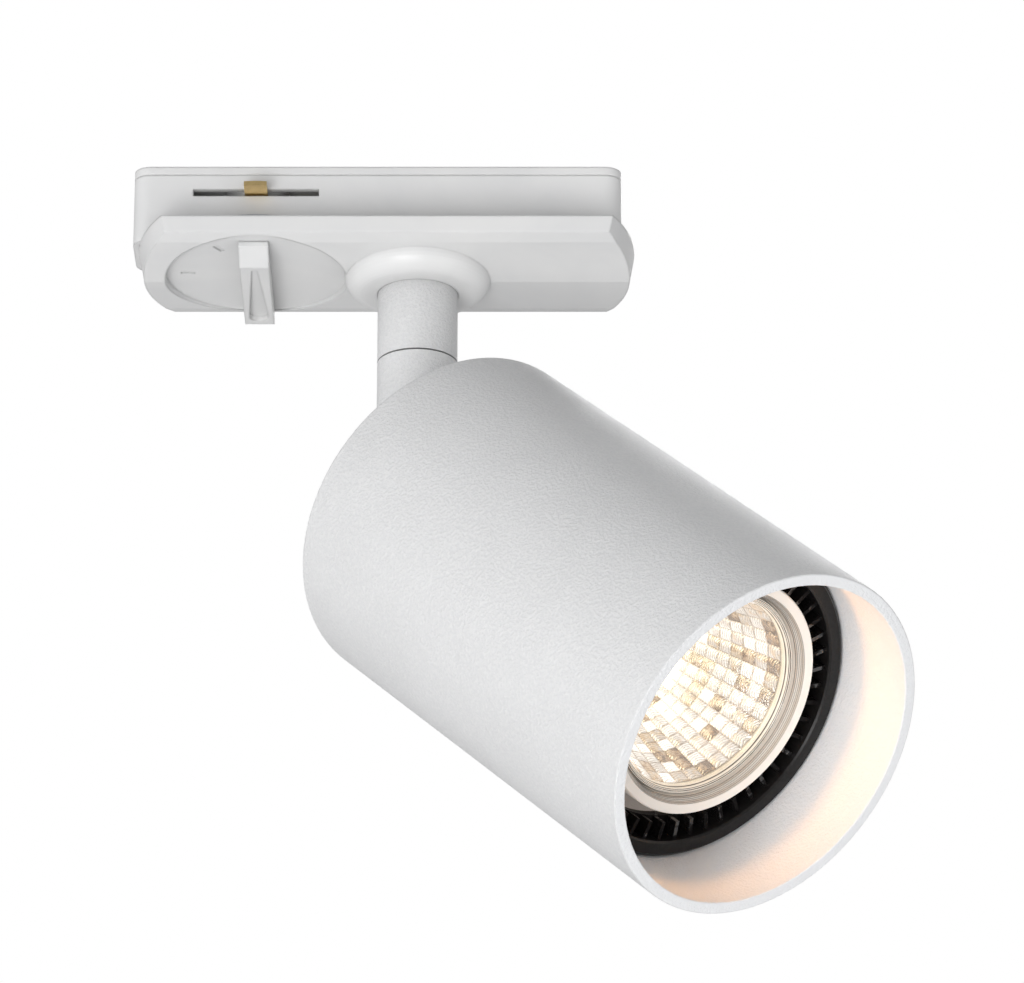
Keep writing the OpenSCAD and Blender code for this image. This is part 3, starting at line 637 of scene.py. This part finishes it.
def faceted_bowl(material):
    """Pressed-glass bowl: mirror facets inside, a smooth shell outside."""
    bm = bmesh.new()
    uv = bm.loops.layers.uv.new("UVMap")
    tone = bm.faces.layers.float.new("tone")
    glow = bm.faces.layers.float.new("glow")
    columns = FACET_SECTORS * FACET_GRID
    inner = mirror_rings(bm, columns)
    outer = [ring_of_vertices(bm, radius, place, columns) for radius, place in shell_profile()]
    rings = inner[::-1] + outer
    tones = {}
    for i, here in enumerate(rings):
        there = rings[(i + 1) % len(rings)]
        m = len(inner) - 2 - i          # the ring ahead on the mirror, counted from its rim
        for c in range(columns):
            n = (c + 1) % columns
            face = bm.faces.new([here[c], here[n], there[n], there[c]])
            if m < 0:
                face[tone] = 0.5
                continue
            cell = (m // FACET_GRID, c // FACET_GRID)
            if cell not in tones:
                tones[cell] = random.random()
            face[tone] = tones[cell]
            # painted light: the burner's glow on this face, stored for the mirror's emission
            face[glow] = painted_glow_at(face.calc_center_median())
            u, v = (c % FACET_GRID) / FACET_GRID, (m % FACET_GRID) / FACET_GRID
            step = 1 / FACET_GRID
            marks = ((u, v + step), (u + step, v + step), (u + step, v), (u, v))
            for corner, mark in zip(face.loops, marks):
                corner[uv].uv = mark
    for ring in inner[::FACET_GRID]:
        for c in range(columns):
            bm.edges.get((ring[c], ring[(c + 1) % columns])).smooth = False
    for ring, after in zip(inner, inner[1:]):
        for c in range(0, columns, FACET_GRID):
            bm.edges.get((ring[c], after[c])).smooth = False
    return new_piece("lamp_bowl", bm, material)


def lens_profile():
    """Thin domed front glass, closed at the axis on both faces."""
    edge_r = BOWL_RIM_R - 0.1
    base = LENS_BACK + LENS_EDGE_RISE
    rise = LENS_FRONT - base
    front = []
    for k in range(LENS_STEPS + 1):
        t = k / LENS_STEPS
        front.append((edge_r * t, base + rise * (1.0 - t ** 2)))
    back = [(radius, place - LENS_THICKNESS) for radius, place in reversed(front)]
    return front + back


def bead_profile():
    """Thick rounded glass edge between the mirror and the front rim, with fine ridges."""
    inner, outer = BOWL_RIM_R + 0.02, LENS_R + 0.55
    base = LENS_BACK + 0.3
    seat = base - 0.8
    points = []
    for k in range(BEAD_STEPS + 1):
        t = k / BEAD_STEPS
        round_off = math.sin(math.pi * t)
        ridge = BEAD_RIDGE * math.cos(t * math.tau * BEAD_RIDGES) * round_off
        points.append((inner + (outer - inner) * t, base + BEAD_HEIGHT * max(0.0, round_off) ** 0.6 + ridge))
    return points + [(outer, seat), (inner, seat)]


def rim_profile():
    """Bright front ring, flat outside, with fine concentric grooves falling to the glass edge."""
    flat_in = RIM_R - RIM_FLAT
    inner = LENS_R + 0.5
    top = RIM_FRONT - 0.1
    pitch = (flat_in - inner) / RIM_GROOVES
    shallow, deep = GROOVE_DEPTHS
    points = [(inner, RIM_BACK), (RIM_R, RIM_BACK), (RIM_R, RIM_FRONT - 0.25),
              (RIM_R - 0.2, RIM_FRONT), (flat_in, top)]
    for k in range(RIM_GROOVES):
        edge = flat_in - pitch * k
        level = top - RIM_DROP * ((k + 1) / RIM_GROOVES) ** 1.2
        depth = shallow + (deep - shallow) * (k / (RIM_GROOVES - 1)) ** 2
        points += [(edge - 0.12 * pitch, level - depth), (edge - 0.48 * pitch, level - 0.1 * depth),
                   (edge - pitch, level)]
    return points


def capsule_profile():
    """Glass capsule of the burner with its little sealed tip."""
    foot = BOWL_BACK + 0.5
    shoulder = BURNER_FRONT - TIP_LEN - BURNER_R
    points = [(0.0, foot), (BURNER_R - 0.5, foot), (BURNER_R, foot + 0.7)]
    for k in range(CAPSULE_STEPS + 1):
        a = 0.5 * math.pi * k / CAPSULE_STEPS
        radius = BURNER_R * math.cos(a)
        if radius > TIP_R:
            points.append((radius, shoulder + BURNER_R * math.sin(a)))
    top = points[-1][1]
    tip = [(TIP_R, top + 0.3), (TIP_R * 0.8, top + 0.8), (TIP_R * 0.4, BURNER_FRONT), (0.0, BURNER_FRONT)]
    return points + tip


bowl_piece = faceted_bowl(FACETS)
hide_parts("lamp_reflector")
lens_piece = lathe("lamp_lens", lens_profile(), LENS_GLASS)
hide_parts("lamp_glass")
bead_piece = lathe("lamp_glass_edge", bead_profile(), EDGE_GLASS, segments=GROOVED_SEGMENTS)
rim_piece = lathe("lamp_front_rim", rim_profile(), RIM_GLASS, segments=GROOVED_SEGMENTS, crease=20.0)
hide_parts("lamp_rim")
capsule = lathe("lamp_capsule", capsule_profile(), HOT_GLASS, segments=64)
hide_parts("lamp_burner")

LAMP_POWER = 0.029
LAMP_COLOUR = (1.0, 0.42, 0.10)
LAMP_SIZE = 0.004


def add_lamp_light():
    """The light the burner throws through the front glass, riding on the lamp."""
    for clear in (capsule, lens_piece, bead_piece):
        clear.visible_shadow = False
    bulb = bpy.data.lights.new("lamp_light", "POINT")
    bulb.energy = LAMP_POWER
    bulb.color = LAMP_COLOUR
    bulb.shadow_soft_size = LAMP_SIZE
    obj = bpy.data.objects.new("lamp_light", bulb)
    obj.location = LAMP_FRAME @ SOURCE_PLACE
    bpy.context.scene.collection.objects.link(obj)
    obj.parent = capsule
    lit = bpy.data.collections.new("lit_by_lamp")
    for node in ("head_tube", "baffle_ring"):
        lit.objects.link(NODES[node])
    obj.light_linking.receiver_collection = lit


add_lamp_light()


# ---- stage, light and camera: places in metres, power in watts -------------------------------

CENTRE = Vector((0.02, -0.02, -0.05))
SOFTBOX_SIZE = 0.7
SOFTBOXES = {
    "front_left": ((-0.4, -1.1, -0.75), 11.3),
    "left": ((-1.4, -0.5, -0.1), 3.6),
    "low_right": ((0.8, -0.6, -0.68), 2.6),
    "high_back": ((0.2, 1.2, 0.9), 7.2),
}
STUDIO_GREY = (0.72, 0.72, 0.725, 1.0)
STUDIO_STRENGTH = 0.57
FLOOR_HEIGHT = -1.2
FLOOR_REACH = 4.0
CAMERA_PLACE = (0.0165, -0.888, -0.4034)
CAMERA_TURN = (math.radians(112.0), 0.0, 0.0)
CAMERA_LENS = 195.0         # mm, on a 36 mm sensor

scene = bpy.context.scene
scene.view_settings.view_transform = "Standard"
scene.cycles.use_denoising = True


def studio_world():
    """White to the camera; a soft studio grey to everything else."""
    world = bpy.data.worlds.new("studio")
    scene.world = world
    world.use_nodes = True
    tree = world.node_tree
    tree.nodes.clear()
    out = tree.nodes.new("ShaderNodeOutputWorld")
    mix = tree.nodes.new("ShaderNodeMixShader")
    path = tree.nodes.new("ShaderNodeLightPath")
    seen = tree.nodes.new("ShaderNodeBackground")
    seen.inputs["Color"].default_value = (1.0, 1.0, 1.0, 1.0)
    glow = tree.nodes.new("ShaderNodeBackground")
    glow.inputs["Color"].default_value = STUDIO_GREY
    glow.inputs["Strength"].default_value = STUDIO_STRENGTH
    tree.links.new(path.outputs["Is Camera Ray"], mix.inputs["Fac"])
    tree.links.new(glow.outputs[0], mix.inputs[1])
    tree.links.new(seen.outputs[0], mix.inputs[2])
    tree.links.new(mix.outputs[0], out.inputs["Surface"])


def add_softbox(name, place, power):
    lamp = bpy.data.lights.new(name, "AREA")
    lamp.shape = "SQUARE"
    lamp.size = SOFTBOX_SIZE
    lamp.energy = power
    obj = bpy.data.objects.new(name, lamp)
    obj.location = place
    obj.rotation_euler = (CENTRE - Vector(place)).to_track_quat("-Z", "Y").to_euler()
    scene.collection.objects.link(obj)


def add_floor():
    """Pale floor far below the hanging lamp, lifted a little for the camera only."""
    mesh = bpy.data.meshes.new("floor")
    bm = bmesh.new()
    bmesh.ops.create_grid(bm, x_segments=8, y_segments=8, size=FLOOR_REACH)
    bm.to_mesh(mesh)
    bm.free()
    n = Nodes("floor_paint")
    tone = n.ramp(n.noise(3.0), [(0.3, 0.80), (0.7, 0.84)])
    lifted = n.add("ShaderNodeEmission", Strength=0.9)
    n.link(tone, lifted.inputs["Color"])
    path = n.add("ShaderNodeLightPath")
    share = n.math("MULTIPLY", path.outputs["Is Camera Ray"], 0.7)
    paint = n.principled(tone, 0.8)
    mesh.materials.append(n.finish(n.mixed(share, paint.outputs["BSDF"], lifted.outputs["Emission"])))
    floor = bpy.data.objects.new("floor", mesh)
    floor.location = (0.0, 0.0, FLOOR_HEIGHT)
    scene.collection.objects.link(floor)


def add_camera():
    camera = bpy.data.cameras.new("camera")
    camera.lens = CAMERA_LENS
    camera.sensor_width = 36.0
    view = bpy.data.objects.new("camera", camera)
    view.location = CAMERA_PLACE
    view.rotation_euler = CAMERA_TURN
    scene.collection.objects.link(view)
    scene.camera = view


studio_world()
for softbox, (place, power) in SOFTBOXES.items():
    add_softbox(softbox, place, power)
add_floor()
add_camera()
